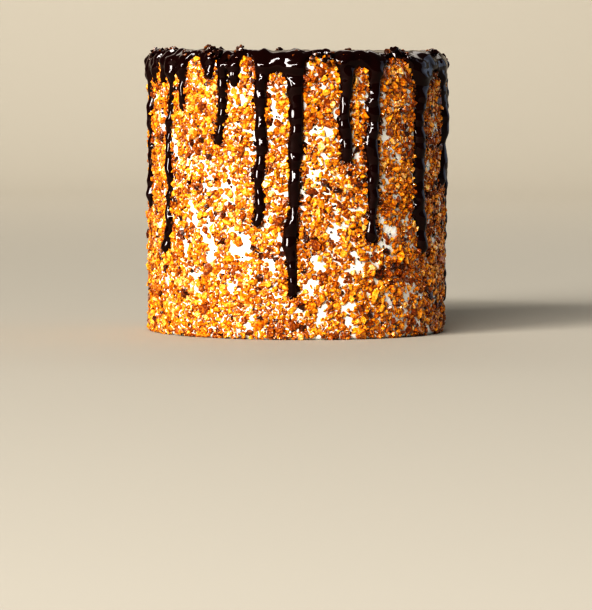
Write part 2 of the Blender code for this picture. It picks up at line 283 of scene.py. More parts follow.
def made_up_course(tip, width, lean, pick):
    """A course for a run nobody has seen: it wanders to and fro, swells and narrows, and leans."""
    height, drift = BACK_COURSE_TOP, 0.0
    course = [(height, 0.0, width * BACK_COURSE_TOP_SWELL)]
    while height > tip + BACK_COURSE_STEPS[0]:
        height = max(height - pick.uniform(*BACK_COURSE_STEPS), tip)
        fallen = (BACK_COURSE_TOP - height) / (BACK_COURSE_TOP - tip)
        drift = BACK_COURSE_HOLD * drift + pick.uniform(-BACK_COURSE_SWAY, BACK_COURSE_SWAY)
        course.append((height, drift + lean * fallen, width * pick.uniform(*BACK_COURSE_SWELLS)))
    return tuple(course)


def all_runs():
    """The runs round the whole cake, by angle: those at the front, then those made up for the back."""
    pick, detail = random.Random(BACK_SEED), random.Random(BACK_SEED + 1)
    runs = list(FRONT_RUNS)
    angle = FRONT_RUNS[-1].angle + pick.uniform(*BACK_SPACING)
    long_turn = False
    while angle < BACK_END - BACK_SPACING[0]:
        tip = pick.uniform(*(BACK_LONG_TIPS if long_turn else BACK_SHORT_TIPS))
        width = pick.uniform(*BACK_WIDTHS)
        lean = pick.uniform(*BACK_LEANS)
        course = made_up_course(tip * 1000, width * 1000, lean * MM_TO_A_DEGREE, detail)
        runs.append(Run(angle, pick.uniform(*BACK_ARCHES), course))
        long_turn = pick.random() < BACK_LONG_CHANCE or not long_turn
        angle += pick.uniform(*BACK_SPACING)
    return runs


chocolate_runs = all_runs()


def eased(share):
    """Shares from 0 to 1, eased at both ends."""
    share = np.clip(share, 0.0, 1.0)
    return share * share * (3 - 2 * share)


def rooted(share):
    """The root of a share that may be below nothing, where it gives as much below nothing."""
    return np.sign(share) * np.sqrt(np.abs(share))


def higher(one, other, blend):
    """The higher of two skins, with a hollow of this size filled in where they meet."""
    near = np.maximum(blend - np.abs(one - other), 0.0) / blend
    return np.maximum(one, other) + near * near * blend / 4


def on_cream(distance, angle, lift):
    """Points this far from the top's middle along the cream, at this angle, and this far off it."""
    turn = np.clip((distance - top_flat) / CREAM_SHOULDER, 0.0, math.pi / 2)
    out = np.minimum(distance, top_flat) + (CREAM_SHOULDER + lift) * np.sin(turn)
    down = np.maximum(distance - wall_start, 0.0)
    up = shoulder_foot + (CREAM_SHOULDER + lift) * np.cos(turn) - down
    return np.stack([out * np.sin(angle), -out * np.cos(angle), up], axis=-1)


def distance_at(height):
    """How far from the top's middle, along the cream, its shoulder or wall has this height."""
    turn = np.arccos(np.clip((height - shoulder_foot) / CREAM_SHOULDER, 0.0, 1.0))
    return top_flat + CREAM_SHOULDER * turn + np.maximum(shoulder_foot - height, 0.0)


def edge_distance(angle):
    """How far down the chocolate's lower edge lies at each angle in radians, apart from its runs."""
    first = chocolate_runs[0].angle
    degrees = first + (np.degrees(angle) - first) % 360
    height = np.zeros_like(degrees)
    for index, run in enumerate(chocolate_runs):
        beside = chocolate_runs[(index + 1) % len(chocolate_runs)]
        after = beside.angle + (360 if index + 1 == len(chocolate_runs) else 0)
        here = (degrees >= run.angle) & (degrees <= after)
        reach = (after - run.angle) / 2 * FUNNEL_SHARE
        near = np.minimum(degrees - run.angle, after - degrees)
        height = np.where(here, run.arch - FUNNEL_DEPTH * (1 - eased(near / reach)), height)
    rippled = sum(np.sin(angle * count + count) for count in EDGE_RIPPLES) / len(EDGE_RIPPLES)
    return distance_at(height) + EDGE_RIPPLE * rippled


def pool_lift(angle, distance):
    """How far off the cream the poured pool stands: full on the top, and thin at its edge."""
    inward = np.minimum((edge_distance(angle) - distance) / CHOCOLATE_LIP, 1.0)
    return CHOCOLATE_THICK * rooted(1 - (1 - inward) ** 2)


def follow(course, height):
    """A course's drift and width in metres at each height, eased from each mark to the next."""
    heights, drifts, widths = np.array(course[::-1]).T / 1000
    index = np.clip(np.searchsorted(heights, height) - 1, 0, len(heights) - 2)
    share = eased((height - heights[index]) / (heights[index + 1] - heights[index]))
    drift = drifts[index] + share * (drifts[index + 1] - drifts[index])
    return drift, widths[index] + share * (widths[index + 1] - widths[index])


def run_lift(run, angle, distance):
    """How far off the cream one run stands: round across and at its tip, and rising slowly at the rim."""
    height = shoulder_foot + wall_start - distance
    drift, width = follow(run.course, height)
    across = ((angle - math.radians(run.angle) + math.pi) % math.tau - math.pi) * CREAM_RADIUS - drift
    half = width / 2
    below = np.maximum(run.course[-1][0] / 1000 + half - height, 0.0)
    above = np.maximum(RUN_START - distance, 0.0)
    proud = np.minimum(half * RUN_FULLNESS, RUN_PROUD)
    return proud * rooted(1 - (across / half) ** 2 - (below / half) ** 2 - (above / RUN_RISE) ** 2)


def chocolate_lift(angle, distance):
    """How far off the cream the chocolate stands; below nothing, there is none."""
    lift = np.maximum(pool_lift(angle, distance), -CHOCOLATE_SUNK)
    for run in chocolate_runs:
        one = np.maximum(run_lift(run, angle, distance), -CHOCOLATE_SUNK)
        lift = np.where(one > -CHOCOLATE_SUNK, higher(lift, one, CHOCOLATE_BLEND), lift)
    return lift


# Crumbs that the chocolate carried up to the rim and covered, which stand up as single lumps.
RIM_LUMP_ANGLES = [-66.0, -37.5, -33.0, -22.5, 12.0, 44.0, 72.0]
RIM_LUMP_ANGLES += [104.0, 131.0, 158.0, 187.0, 214.0, 243.0, 268.0]
RIM_LUMP_REACH = 0.0765
RIM_LUMP_RADIUS = 0.0024
RIM_LUMP_HEIGHT = 0.0010


def lumps_on(angle, distance, lift):
    """What the crumbs under the chocolate add to it: low domes, single lumps at the rim, and waves."""
    spots = on_cream(distance, angle, lift)
    past_flat = eased((distance - LUMPY_FROM) / LUMPY_FADE)
    past_rim = eased((distance - LUMPY_TO) / LUMPY_FADE)
    lumpy = past_flat * (1 - (1 - LUMPS_ON_RUNS) * past_rim)
    wavy = past_flat * (1 - (1 - SKIN_WAVES_ON_RUNS) * past_rim)
    added = np.zeros_like(lift)
    for index, spot in enumerate(spots):
        point = Vector(spot)
        added[index] = (1 - past_flat[index]) * TOP_WAVE_HEIGHT * noise.noise(point / TOP_WAVE)
        if past_flat[index] > 0.0:
            near, seats = noise.voronoi(point / LUMP_SPACING)
            dome = max(0.0, 1 - (near[0] / LUMP_REACH) ** 2)
            lump = LUMP_HEIGHT * dome * noise.noise(seats[0] * LUMP_VARIETY + LUMP_SHIFT)
            point.z *= SKIN_WAVE_RISE
            wave = SKIN_WAVE_HEIGHT * noise.noise(point / SKIN_WAVE)
            added[index] += lumpy[index] * lump + wavy[index] * wave
    for at in RIM_LUMP_ANGLES:
        across = ((angle - math.radians(at) + math.pi) % math.tau - math.pi) * RIM_LUMP_REACH
        away = np.hypot(across, distance - RIM_LUMP_REACH) / RIM_LUMP_RADIUS
        added += RIM_LUMP_HEIGHT * np.sqrt(np.maximum(1 - away**2, 0.0))
    return added * np.clip(lift / (CHOCOLATE_THICK / 2), 0.0, 1.0)


chocolate = bmesh.new()
bmesh.ops.create_grid(chocolate, x_segments=CHOCOLATE_COLUMNS, y_segments=CHOCOLATE_ROWS, size=0.5)
grid_points = np.array([corner.co for corner in chocolate.verts])
grid_angle = grid_points[:, 0] * math.tau
grid_distance = np.interp(grid_points[:, 1] + 0.5, ROW_SHARES, ROW_DISTANCES)
grid_lift = chocolate_lift(grid_angle, grid_distance)
bare = grid_lift <= -CHOCOLATE_SUNK
bare_faces = [face for face in chocolate.faces if all(bare[corner.index] for corner in face.verts)]
grid_index = chocolate.verts.layers.int.new("grid")
under_skin = on_cream(grid_distance, grid_angle, -CHOCOLATE_UNDER)
for corner in chocolate.verts:
    corner[grid_index] = corner.index
    corner.co = under_skin[corner.index]
bmesh.ops.delete(chocolate, geom=bare_faces, context="FACES")
bmesh.ops.remove_doubles(chocolate, verts=chocolate.verts, dist=SAME_POINT)
made = bmesh.ops.extrude_face_region(chocolate, geom=list(chocolate.faces), use_keep_orig=True)
over = [part for part in made["geom"] if isinstance(part, bmesh.types.BMVert)]
kept = np.array([corner[grid_index] for corner in over])
over_lift = grid_lift[kept] + lumps_on(grid_angle[kept], grid_distance[kept], grid_lift[kept])
for corner, spot in zip(over, on_cream(grid_distance[kept], grid_angle[kept], over_lift)):
    corner.co = spot
bmesh.ops.recalc_face_normals(chocolate, faces=chocolate.faces)

CHOCOLATE_BROWN = (0.0145, 0.0017, 0.0008)
chocolate_gloss, chocolate_shader, chocolate_tree = new_material("dark_chocolate", 0.10, IOR=1.5)
chocolate_shader.inputs["Base Color"].default_value = (*CHOCOLATE_BROWN, 1.0)
chocolate_shader.inputs["Specular IOR Level"].default_value = 0.45
add_relief(chocolate_tree, chocolate_shader, scale=180.0, depth=0.00003, detail=1.0)
chocolate_skin = smooth_mesh("chocolate_glaze", chocolate)
chocolate_glaze = finished_piece("chocolate_glaze", chocolate_skin, chocolate_gloss)
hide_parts("chocolate")


# The praline crumbs. Nuts cooked in caramel and crushed, from pale gold to nearly black, pressed into
# the soft cream by the handful, so that they lie close but leave ragged gaps. Each crumb is a chip
# with flat facets, and one piece holds all the crumbs of one colour.
CHIP_SEED = 29
CHIP_SHAPES = 48
CHIP_CORNERS = 10
CHIP_SPREAD = 0.84
CHIP_CORNER_REACH = (0.66, 1.0)
CHIP_SLIMNESS = (0.62, 1.24)
CHIP_PRESSED = 0.72
CHIP_FULLNESS = 1.30
# How much darker a chip's corners grow where they face sideways or in: partly the caramel's darker rim,
# partly painted shade in the crevices between crumbs.
CHIP_EDGE_SHADE_TONE = 1.05
CHIP_FLOOR = 0.0001
# Each size of crumb, and how many of it are laid at most.
CRUMB_SIZES = ((0.0060, 220), (0.0052, 700), (0.0045, 1500), (0.0038, 3000), (0.0032, 5000), (0.0027, 4000))
CRUMB_SIZE_SPREAD = (0.9, 1.1)
CRUMB_LOWEST_SHARE = 0.42
CRUMB_CLOSENESS = 0.68
CRUMB_TRIES = 14
CRUMB_CELL = 0.0040
CRUMB_SINK = (-0.14, 0.16)
CRUMB_MOST_LIFT = 0.0002
CRUMB_STRAY = 0.10
GAP_WAVE = 0.0098
GAP_LEAN = 0.3
GAP_STRETCH = 0.62
GAP_SHARE = 0.140
GAP_BREAK = 0.009
GAP_BREAK_SHIFT = Vector((9.1, 3.3, 7.7))
GAP_BREAK_LEVEL = -0.08
# Places where the coat is thinner and the gaps are wider: angle in degrees, height and reach in mm.
THIN_PLACES = [
    (-37, 60, 13), (-19, 47, 15), (-9, 127, 14), (8, 127, 17), (8, 47, 19), (15, 12, 12),
    (24, 114, 12), (44, 67, 11), (43, 30, 11), (39, 113, 9), (31, 34, 10),
]
THIN_SHARE = 0.085
TONE_WAVE = 0.0070
TONE_CLUMPING = 2.2
TONE_NEAR_CHOCOLATE = 1.5
CRUMB_TONES = 0.5

wall_around = math.tau * CREAM_RADIUS


def on_wall(along, height):
    """The point of the cream's wall this far round it and this high, as a vector."""
    angle = along / CREAM_RADIUS
    return Vector((CREAM_RADIUS * math.sin(angle), -CREAM_RADIUS * math.cos(angle), height))


def wall_between(along, other):
    """How far round the wall one place lies from another, the shorter way."""
    return (along - other + wall_around / 2) % wall_around - wall_around / 2


def gap_width(along, height):
    """How deep inside a gap this point lies: the gaps are long and ragged, and lean to the right."""
    spot = on_wall(along + height * GAP_LEAN, height * GAP_STRETCH)
    broken = noise.noise(spot / GAP_BREAK + GAP_BREAK_SHIFT) - GAP_BREAK_LEVEL
    thin = 0.0
    for at, up, reach in THIN_PLACES:
        aside = wall_between(along, math.radians(at) * CREAM_RADIUS)
        thin += math.exp(-(aside**2 + (height - up / 1000) ** 2) / (reach / 1000) ** 2)
    return min(GAP_SHARE + THIN_SHARE * thin - abs(two_waves(spot / GAP_WAVE)), broken + THIN_SHARE * thin)


def not_under_chocolate(spots):
    """Of these places along the wall and up it, those where no chocolate covers the crumbs."""
    return spots[chocolate_lift(spots[:, 0] / CREAM_RADIUS, distance_at(spots[:, 1])) < CRUMB_MOST_LIFT]


def scatter_crumbs():
    """Where each crumb lies, as its place along the wall, its height and its size, the largest first."""
    pick = np.random.default_rng(CHIP_SEED)
    cells, places = {}, []
    columns = int(wall_around / CRUMB_CELL)
    cells_beside = [(aside, above) for aside in (-1, 0, 1) for above in (-1, 0, 1)]
    for size, count in CRUMB_SIZES:
        tries = count * CRUMB_TRIES
        tried_along = pick.uniform(0, wall_around, tries)
        tried_height = pick.uniform(size * CRUMB_LOWEST_SHARE, cream_height, tries)
        spots = not_under_chocolate(np.stack([tried_along, tried_height], axis=-1))
        own_sizes = size * pick.uniform(*CRUMB_SIZE_SPREAD, len(spots))
        made = 0
        for (along, height), own in zip(spots.tolist(), own_sizes.tolist()):
            if made == count:
                break
            column, row = int(along / CRUMB_CELL) % columns, int(height / CRUMB_CELL)
            near = [
                other
                for aside, above in cells_beside
                for other in cells.get(((column + aside) % columns, row + above), ())
            ]
            clear = all(
                math.hypot(wall_between(along, other[0]), height - other[1])
                > (own + other[2]) / 2 * CRUMB_CLOSENESS
                for other in near
            )
            if clear and gap_width(along, height) < CRUMB_STRAY * pick.random() ** 4:
                places.append((along, height, own))
                cells.setdefault((column, row), []).append(places[-1])
                made += 1
    return np.array(places)


def chip_shapes():
    """The corners and three-sided facets of some chips, each the tight skin round a few points."""
    pick = random.Random(CHIP_SEED)
    all_corners, all_facets = [], []
    while len(all_corners) < CHIP_SHAPES:
        directions = []
        while len(directions) < CHIP_CORNERS:
            direction = Vector([pick.gauss(0, 1) for _ in range(3)]).normalized()
            if all(direction.dot(other) < CHIP_SPREAD for other in directions):
                directions.append(direction)
        chip = bmesh.new()
        for direction in directions:
            chip.verts.new(direction * pick.uniform(*CHIP_CORNER_REACH))
        bmesh.ops.convex_hull(chip, input=chip.verts)
        if all(corner.link_faces for corner in chip.verts):
            chip.normal_update()
            chip.verts.index_update()
            all_corners.append([list(corner.co) for corner in chip.verts])
            all_facets.append([[corner.index for corner in facet.verts] for facet in chip.faces])
        chip.free()
    return np.array(all_corners), np.array(all_facets)


chip_corners, chip_facets = chip_shapes()


def random_turns(count, pick):
    """That many turns in space, each as likely as another, as 3 by 3 matrices."""
    turns = pick.normal(size=(4, count))
    w, x, y, z = turns / np.linalg.norm(turns, axis=0)
    rows = [
        [1 - 2 * (y * y + z * z), 2 * (x * y - z * w), 2 * (x * z + y * w)],
        [2 * (x * y + z * w), 1 - 2 * (x * x + z * z), 2 * (y * z - x * w)],
        [2 * (x * z - y * w), 2 * (y * z + x * w), 1 - 2 * (x * x + y * y)],
    ]
    return np.array(rows).transpose(2, 0, 1)


def wall_rows(places, sink, pick):
    """These places on the wall as angle, distance, lift and size, each crumb set in by chance."""
    sunk = places[:, 2] * pick.uniform(*sink, len(places))
    return np.column_stack([places[:, 0] / CREAM_RADIUS, distance_at(places[:, 1]), sunk, places[:, 2]])


def crumb_heap(name, rows, tones, finish, seed):
    """One piece of many chips, each stretched and turned its own way and set where its row says."""
    pick = np.random.default_rng(seed)
    count = len(rows)
    angle, distance, lift, size = rows.T
    shape = pick.integers(0, CHIP_SHAPES, count)
    chips = chip_corners[shape] * pick.uniform(*CHIP_SLIMNESS, (count, 1, 3))
    chips = np.einsum("nij,nvj->nvi", random_turns(count, pick), chips)
    centres = on_cream(distance, angle, lift)
    out = on_cream(distance, angle, lift + 1.0) - centres
    outward = np.einsum("nvi,ni->nv", chips, out)
    chips -= outward[:, :, None] * out[:, None, :] * (1 - CHIP_PRESSED)
    chips *= size[:, None, None] / 2 * CHIP_FULLNESS
    chips += centres[:, None, :]
    chips[:, :, 2] = np.maximum(chips[:, :, 2], CHIP_FLOOR)
    facets = chip_facets[shape] + (np.arange(count) * CHIP_CORNERS)[:, None, None]
    mesh = bpy.data.meshes.new(name)
    mesh.from_pydata(chips.reshape(-1, 3), [], facets.reshape(-1, 3))
    # Corners facing sideways or in, towards the neighbouring crumbs and the cream, are toned darker:
    # painted shade in the crevices, and partly the caramel's darker rim.
    edge = CHIP_EDGE_SHADE_TONE * (1 - np.clip(outward, 0.0, 1.0))
    tone = mesh.attributes.new("tone", "FLOAT", "POINT")
    tone.data.foreach_set("value", (tones[:, None] + edge).ravel().astype(np.float32))
    finished_piece(name, mesh, finish)


# The caramel's colour, shared by all the crumbs: paler in the middle of a chip and darker round its
# edge, partly its own darker rim and partly painted shade in the crevices, and mottled by fine noise.
MOTTLE_SCALE = 800.0
MOTTLE_NOISE = (0.30, 0.70)
MOTTLE_TONES = (-1.1, 1.3)
caramel_tone = bpy.data.node_groups.new("caramel_tone", "ShaderNodeTree")
caramel_tone.interface.new_socket("Lighter", in_out="INPUT", socket_type="NodeSocketColor")
caramel_tone.interface.new_socket("Darker", in_out="INPUT", socket_type="NodeSocketColor")
caramel_tone.interface.new_socket("Edge", in_out="INPUT", socket_type="NodeSocketColor")
caramel_tone.interface.new_socket("Color", in_out="OUTPUT", socket_type="NodeSocketColor")
caramel_tone.interface.new_socket("Height", in_out="OUTPUT", socket_type="NodeSocketFloat")
tone_in = add_node(caramel_tone, "NodeGroupInput")
tone_out = add_node(caramel_tone, "NodeGroupOutput")
tone_place = add_node(caramel_tone, "ShaderNodeTexCoord")
tone_grain = add_node(caramel_tone, "ShaderNodeTexNoise", Scale=MOTTLE_SCALE, Detail=3.0)
tone_own = add_node(caramel_tone, "ShaderNodeAttribute", attribute_name="tone")
tone_spread = add_node(caramel_tone, "ShaderNodeMapRange")
tone_spread.inputs["From Min"].default_value = MOTTLE_NOISE[0]
tone_spread.inputs["From Max"].default_value = MOTTLE_NOISE[1]
tone_spread.inputs["To Min"].default_value = MOTTLE_TONES[0]
tone_spread.inputs["To Max"].default_value = MOTTLE_TONES[1]
tone_sum = add_node(caramel_tone, "ShaderNodeMath", operation="ADD")
tone_inner = add_node(caramel_tone, "ShaderNodeClamp")
tone_outer = add_node(caramel_tone, "ShaderNodeMath", operation="SUBTRACT", use_clamp=True)
tone_outer.inputs[1].default_value = 1.0
tone_mix = add_node(caramel_tone, "ShaderNodeMixRGB")
# Tones past 1, from the painted edge shade and the darkest mottling, mix towards the edge colour.
tone_edge_shade = add_node(caramel_tone, "ShaderNodeMixRGB")
caramel_tone.links.new(tone_place.outputs["Object"], tone_grain.inputs["Vector"])
caramel_tone.links.new(tone_grain.outputs["Fac"], tone_spread.inputs["Value"])
caramel_tone.links.new(tone_spread.outputs["Result"], tone_sum.inputs[0])
caramel_tone.links.new(tone_own.outputs["Fac"], tone_sum.inputs[1])
caramel_tone.links.new(tone_sum.outputs[0], tone_inner.inputs["Value"])
caramel_tone.links.new(tone_sum.outputs[0], tone_outer.inputs[0])
caramel_tone.links.new(tone_inner.outputs["Result"], tone_mix.inputs["Fac"])
caramel_tone.links.new(tone_outer.outputs[0], tone_edge_shade.inputs["Fac"])
caramel_tone.links.new(tone_mix.outputs["Color"], tone_edge_shade.inputs["Color1"])
caramel_tone.links.new(tone_in.outputs["Edge"], tone_edge_shade.inputs["Color2"])
caramel_tone.links.new(tone_in.outputs["Lighter"], tone_mix.inputs["Color1"])
caramel_tone.links.new(tone_in.outputs["Darker"], tone_mix.inputs["Color2"])
caramel_tone.links.new(tone_edge_shade.outputs["Color"], tone_out.inputs["Color"])
caramel_tone.links.new(tone_grain.outputs["Fac"], tone_out.inputs["Height"])

# A chip's edge, with its painted shade, is this brown, or darker where the chip's own darker colour is.
EDGE_SHADE_BROWN = (0.30, 0.075, 0.003)
EDGE_OF_DARKER = 0.8


def crumb_material(name, lighter, darker, roughness, glow):
    """Caramelised nut between a lighter and a darker colour, through which some light glows."""
    made, shader, tree = new_material(
        name,
        roughness,
        Subsurface_Weight=glow,
        Subsurface_Radius=(0.0010, 0.0004, 0.0001),
        Subsurface_Scale=1.0,
    )
    shader.inputs["Specular IOR Level"].default_value = 0.5
    shader.inputs["Coat Weight"].default_value = 0.4
    shader.inputs["Coat Roughness"].default_value = 0.06
    tone = add_node(tree, "ShaderNodeGroup", node_tree=caramel_tone)
    tone.inputs["Lighter"].default_value = (*lighter, 1.0)
    tone.inputs["Darker"].default_value = (*darker, 1.0)
    edge = [min(brown, own * EDGE_OF_DARKER) for brown, own in zip(EDGE_SHADE_BROWN, darker)]
    tone.inputs["Edge"].default_value = (*edge, 1.0)
    bump = add_node(tree, "ShaderNodeBump", Strength=1.0, Distance=0.0005)
    tree.links.new(tone.outputs["Color"], shader.inputs["Base Color"])
    tree.links.new(tone.outputs["Height"], bump.inputs["Height"])
    tree.links.new(bump.outputs["Normal"], shader.inputs["Normal"])
    return made


# Name, share of all crumbs, lighter colour, darker colour, roughness and how far light glows through.
CRUMB_KINDS = [
    ("pale_nut_crumbs", 0.07, (0.93, 0.68, 0.38), (0.88, 0.46, 0.09), 0.22, 0.4),
    ("golden_crumbs", 0.36, (0.90, 0.49, 0.08), (0.78, 0.31, 0.008), 0.18, 0.4),
    ("caramel_crumbs", 0.30, (0.82, 0.385, 0.022), (0.57, 0.185, 0.004), 0.16, 0.4),
    ("toasted_crumbs", 0.19, (0.56, 0.185, 0.008), (0.22, 0.048, 0.003), 0.15, 0.2),
    ("burnt_sugar_crumbs", 0.08, (0.20, 0.042, 0.004), (0.045, 0.010, 0.003), 0.14, 0.1),
]


def tones_at(places, pick):
    """How dark each crumb is for its place, from 0 to 1: by chance, in clumps, and beside the runs."""
    tone = pick.normal(size=len(places))
    for index, (along, height, _) in enumerate(places.tolist()):
        tone[index] += TONE_CLUMPING * noise.noise(on_wall(along, height) / TONE_WAVE)
    beside_run = chocolate_lift(places[:, 0] / CREAM_RADIUS, distance_at(places[:, 1])) > -CHOCOLATE_SUNK
    tone += TONE_NEAR_CHOCOLATE * beside_run
    return tone.argsort().argsort() / len(tone)


tone_pick = np.random.default_rng(CHIP_SEED + 3)
crumb_places = scatter_crumbs()
crumb_tones = tones_at(crumb_places, tone_pick)
lowest = 0.0
for seed, (name, share, lighter, darker, roughness, glow) in enumerate(CRUMB_KINDS):
    chosen = (crumb_tones >= lowest) & (crumb_tones < lowest + share)
    tones = (crumb_tones[chosen] - lowest) / share
    finish = crumb_material(name, lighter, darker, roughness, glow)
    rows = wall_rows(crumb_places[chosen], CRUMB_SINK, tone_pick)
    crumb_heap(name, rows, tones * CRUMB_TONES, finish, CHIP_SEED + seed)
    lowest += share


# The fine crumbs. What breaks off the praline as it is crushed: small caramel chips, which went on in
# the same handfuls and fill in between the others, close and evenly, but leave the gaps open too.
BED_SPACING = 0.0020
BED_ROW = 0.866
BED_FIRST_ROW = 0.6
BED_JITTER = 0.0007
BED_SIZES = (0.0021, 0.0030)
BED_SINK = (-0.12, 0.14)
BED_SHARE = 0.975
BED_GAP_EDGE = 0.012
BED_RAGGED = 0.02
BED_TONES = 0.6


def lay_bed():
    """Where the fine crumbs lie, as each one's place along the wall, height and size."""
    pick = np.random.default_rng(CHIP_SEED + 1)
    rows = int(cream_height / (BED_SPACING * BED_ROW))
    columns = int(wall_around / BED_SPACING)
    row, column = np.mgrid[0:rows, 0:columns]
    along = (column + (row % 2) / 2) * wall_around / columns
    along += pick.uniform(-BED_JITTER, BED_JITTER, row.shape)
    height = (row + BED_FIRST_ROW) * BED_SPACING * BED_ROW
    height += pick.uniform(-BED_JITTER, BED_JITTER, row.shape)
    spots = not_under_chocolate(np.stack([along.ravel(), height.ravel()], axis=-1))
    shown = [
        gap_width(*spot) < BED_GAP_EDGE - BED_RAGGED * pick.random() ** 2 and pick.random() < BED_SHARE
        for spot in spots.tolist()
    ]
    spots = spots[shown]
    return np.column_stack([spots, pick.uniform(*BED_SIZES, len(spots))])


bed_places = lay_bed()
bed_finish = crumb_material("fine_crumbs", (0.76, 0.34, 0.016), (0.36, 0.095, 0.003), 0.25, 0.2)
bed_rows = wall_rows(bed_places, BED_SINK, tone_pick)
bed_tones = tones_at(bed_places, tone_pick) * BED_TONES
crumb_heap("fine_crumbs", bed_rows, bed_tones, bed_finish, CHIP_SEED + 9)


# The dark specks. The finest bits of burnt sugar, like coarse dust. They lie anywhere, on the bare
# cream of the gaps too, and stand a little proud of the crumbs that they fell on.
SPECK_COUNT = 2600
SPECK_LOWEST = 0.001
SPECK_SIZES = (0.0008, 0.0016)
SPECK_SINK = (0.3, 0.6)


def drop_specks():
    """Where the specks lie, as each one's place along the wall, height and size."""
    pick = np.random.default_rng(CHIP_SEED + 2)
    along = pick.uniform(0, wall_around, SPECK_COUNT)
    height = pick.uniform(SPECK_LOWEST, cream_height, SPECK_COUNT)
    spots = not_under_chocolate(np.stack([along, height], axis=-1))
    return np.column_stack([spots, pick.uniform(*SPECK_SIZES, len(spots))])


speck_places = drop_specks()
speck_finish = crumb_material("dark_specks", (0.12, 0.030, 0.008), (0.03, 0.010, 0.005), 0.4, 0.0)
speck_rows = wall_rows(speck_places, SPECK_SINK, tone_pick)
speck_tones = tones_at(speck_places, tone_pick)
crumb_heap("dark_specks", speck_rows, speck_tones, speck_finish, CHIP_SEED + 10)


# The crumbs that the chocolate caught. Small heaps stand up at the rim, and others lie along its lower
# edge, half in it. Some are covered with chocolate, and some still show their dark caramel.
# Each heap: its angle from the front, its distance from the top's middle, its crumbs and its height.
CAUGHT_HEAPS = [
    (-78.0, 0.0790, 5, 0.0046), (-70.0, 0.0775, 6, 0.0050), (-62.5, 0.0765, 6, 0.0052),
    (-50.0, 0.0790, 3, 0.0044), (-37.8, 0.0765, 8, 0.0068), (-34.0, 0.0790, 5, 0.0054),
    (-30.9, 0.0790, 5, 0.0050), (-27.0, 0.0820, 3, 0.0044), (-23.2, 0.0765, 8, 0.0064),
    (0.0, 0.0785, 2, 0.0044), (6.0, 0.0795, 4, 0.0044), (12.7, 0.0800, 6, 0.0050),
    (17.0, 0.0815, 5, 0.0046), (24.0, 0.0785, 3, 0.0044), (38.8, 0.0780, 5, 0.0052),
    (42.8, 0.0770, 9, 0.0060), (46.6, 0.0785, 6, 0.0052), (56.4, 0.0870, 2, 0.0044),
    (72.0, 0.0780, 6, 0.0052), (84.0, 0.0790, 4, 0.0046),
]
CAUGHT_HEAPS += [(at, 0.0770, 7, 0.0056) for at in RIM_LUMP_ANGLES if at > 90.0]
CAUGHT_SPREAD = 0.0015
CAUGHT_SIZES = (0.0023, 0.0036)
CAUGHT_FOOT = 0.0030
EDGE_CAUGHT_COUNT = 1800
EDGE_CAUGHT_TRIES = 40
EDGE_CAUGHT_LIFT = 0.0007
EDGE_CAUGHT_BAND = (-0.0007, 0.0006)
EDGE_CAUGHT_SIZES = (0.0016, 0.0031)
EDGE_CAUGHT_LOWEST = 0.020
CAUGHT_COVERED = 0.45


def caught_at_rim(pick):
    """Angle, distance, lift and size of each crumb in the heaps at the rim, the middle ones highest."""
    rows = []
    for at, reach, count, top in CAUGHT_HEAPS:
        aside, along = pick.normal(scale=CAUGHT_SPREAD, size=(2, count))
        middle = np.exp(-(aside**2 + along**2) / (2 * CAUGHT_SPREAD) ** 2)
        lift = CAUGHT_FOOT + (top - CAUGHT_FOOT) * middle
        size = pick.uniform(*CAUGHT_SIZES, count)
        angle = math.radians(at) + aside / reach
        rows.append(np.stack([angle, reach + along, lift - size / 3, size], axis=-1))
    return np.concatenate(rows)


def caught_at_edge(pick):
    """The same for crumbs that lie half in the chocolate's edge, the whole way round."""
    tries = EDGE_CAUGHT_COUNT * EDGE_CAUGHT_TRIES
    angle = pick.uniform(0, math.tau, tries)
    distance = pick.uniform(wall_start, distance_at(EDGE_CAUGHT_LOWEST), tries)
    lift = chocolate_lift(angle, distance)
    beside = (lift > EDGE_CAUGHT_BAND[0]) & (lift < EDGE_CAUGHT_BAND[1])
    size = pick.uniform(*EDGE_CAUGHT_SIZES, tries)
    rows = np.stack([angle, distance, np.full(tries, EDGE_CAUGHT_LIFT), size], axis=-1)
    return rows[beside][:EDGE_CAUGHT_COUNT]


caught_pick = np.random.default_rng(CHIP_SEED + 4)
caught_rows = np.concatenate([caught_at_rim(caught_pick), caught_at_edge(caught_pick)])
caught_covered = caught_pick.random(len(caught_rows)) < CAUGHT_COVERED
caught_tones = caught_pick.random(len(caught_rows))
caught_finish = crumb_material("sticky_crumbs", (0.34, 0.115, 0.018), (0.060, 0.015, 0.003), 0.12, 0.1)
for name, shown, finish, slot in (
    ("covered_crumbs", caught_covered, chocolate_gloss, "dark_chocolate"),
    ("sticky_crumbs", ~caught_covered, caught_finish, "praline_coat"),
):
    crumb_heap(name, caught_rows[shown], caught_tones[shown], finish, CHIP_SEED + 11)


# The room. A pale, warm, matt floor, which sweeps up into a plain backdrop well behind the cake. Far
# in front of it the floor's colour darkens: painted shade, like a room beyond the lamps' reach.
FLOOR_HALF_WIDTH = 3.0
FLOOR_FRONT = -4.0
FLOOR_BACK = 3.6
SWEEP_RADIUS = 1.3
SWEEP_HEIGHT = 3.0
SWEEP_CORNERS = 17
FLOOR_COLOUR = (0.42, 0.385, 0.325)
# In front the floor's colour darkens between these two places, as painted shade.
FLOOR_SHADE_FADE = (-1.1, -2.1)
FLOOR_PAINTED_SHADE = (0.035, 0.032, 0.028)

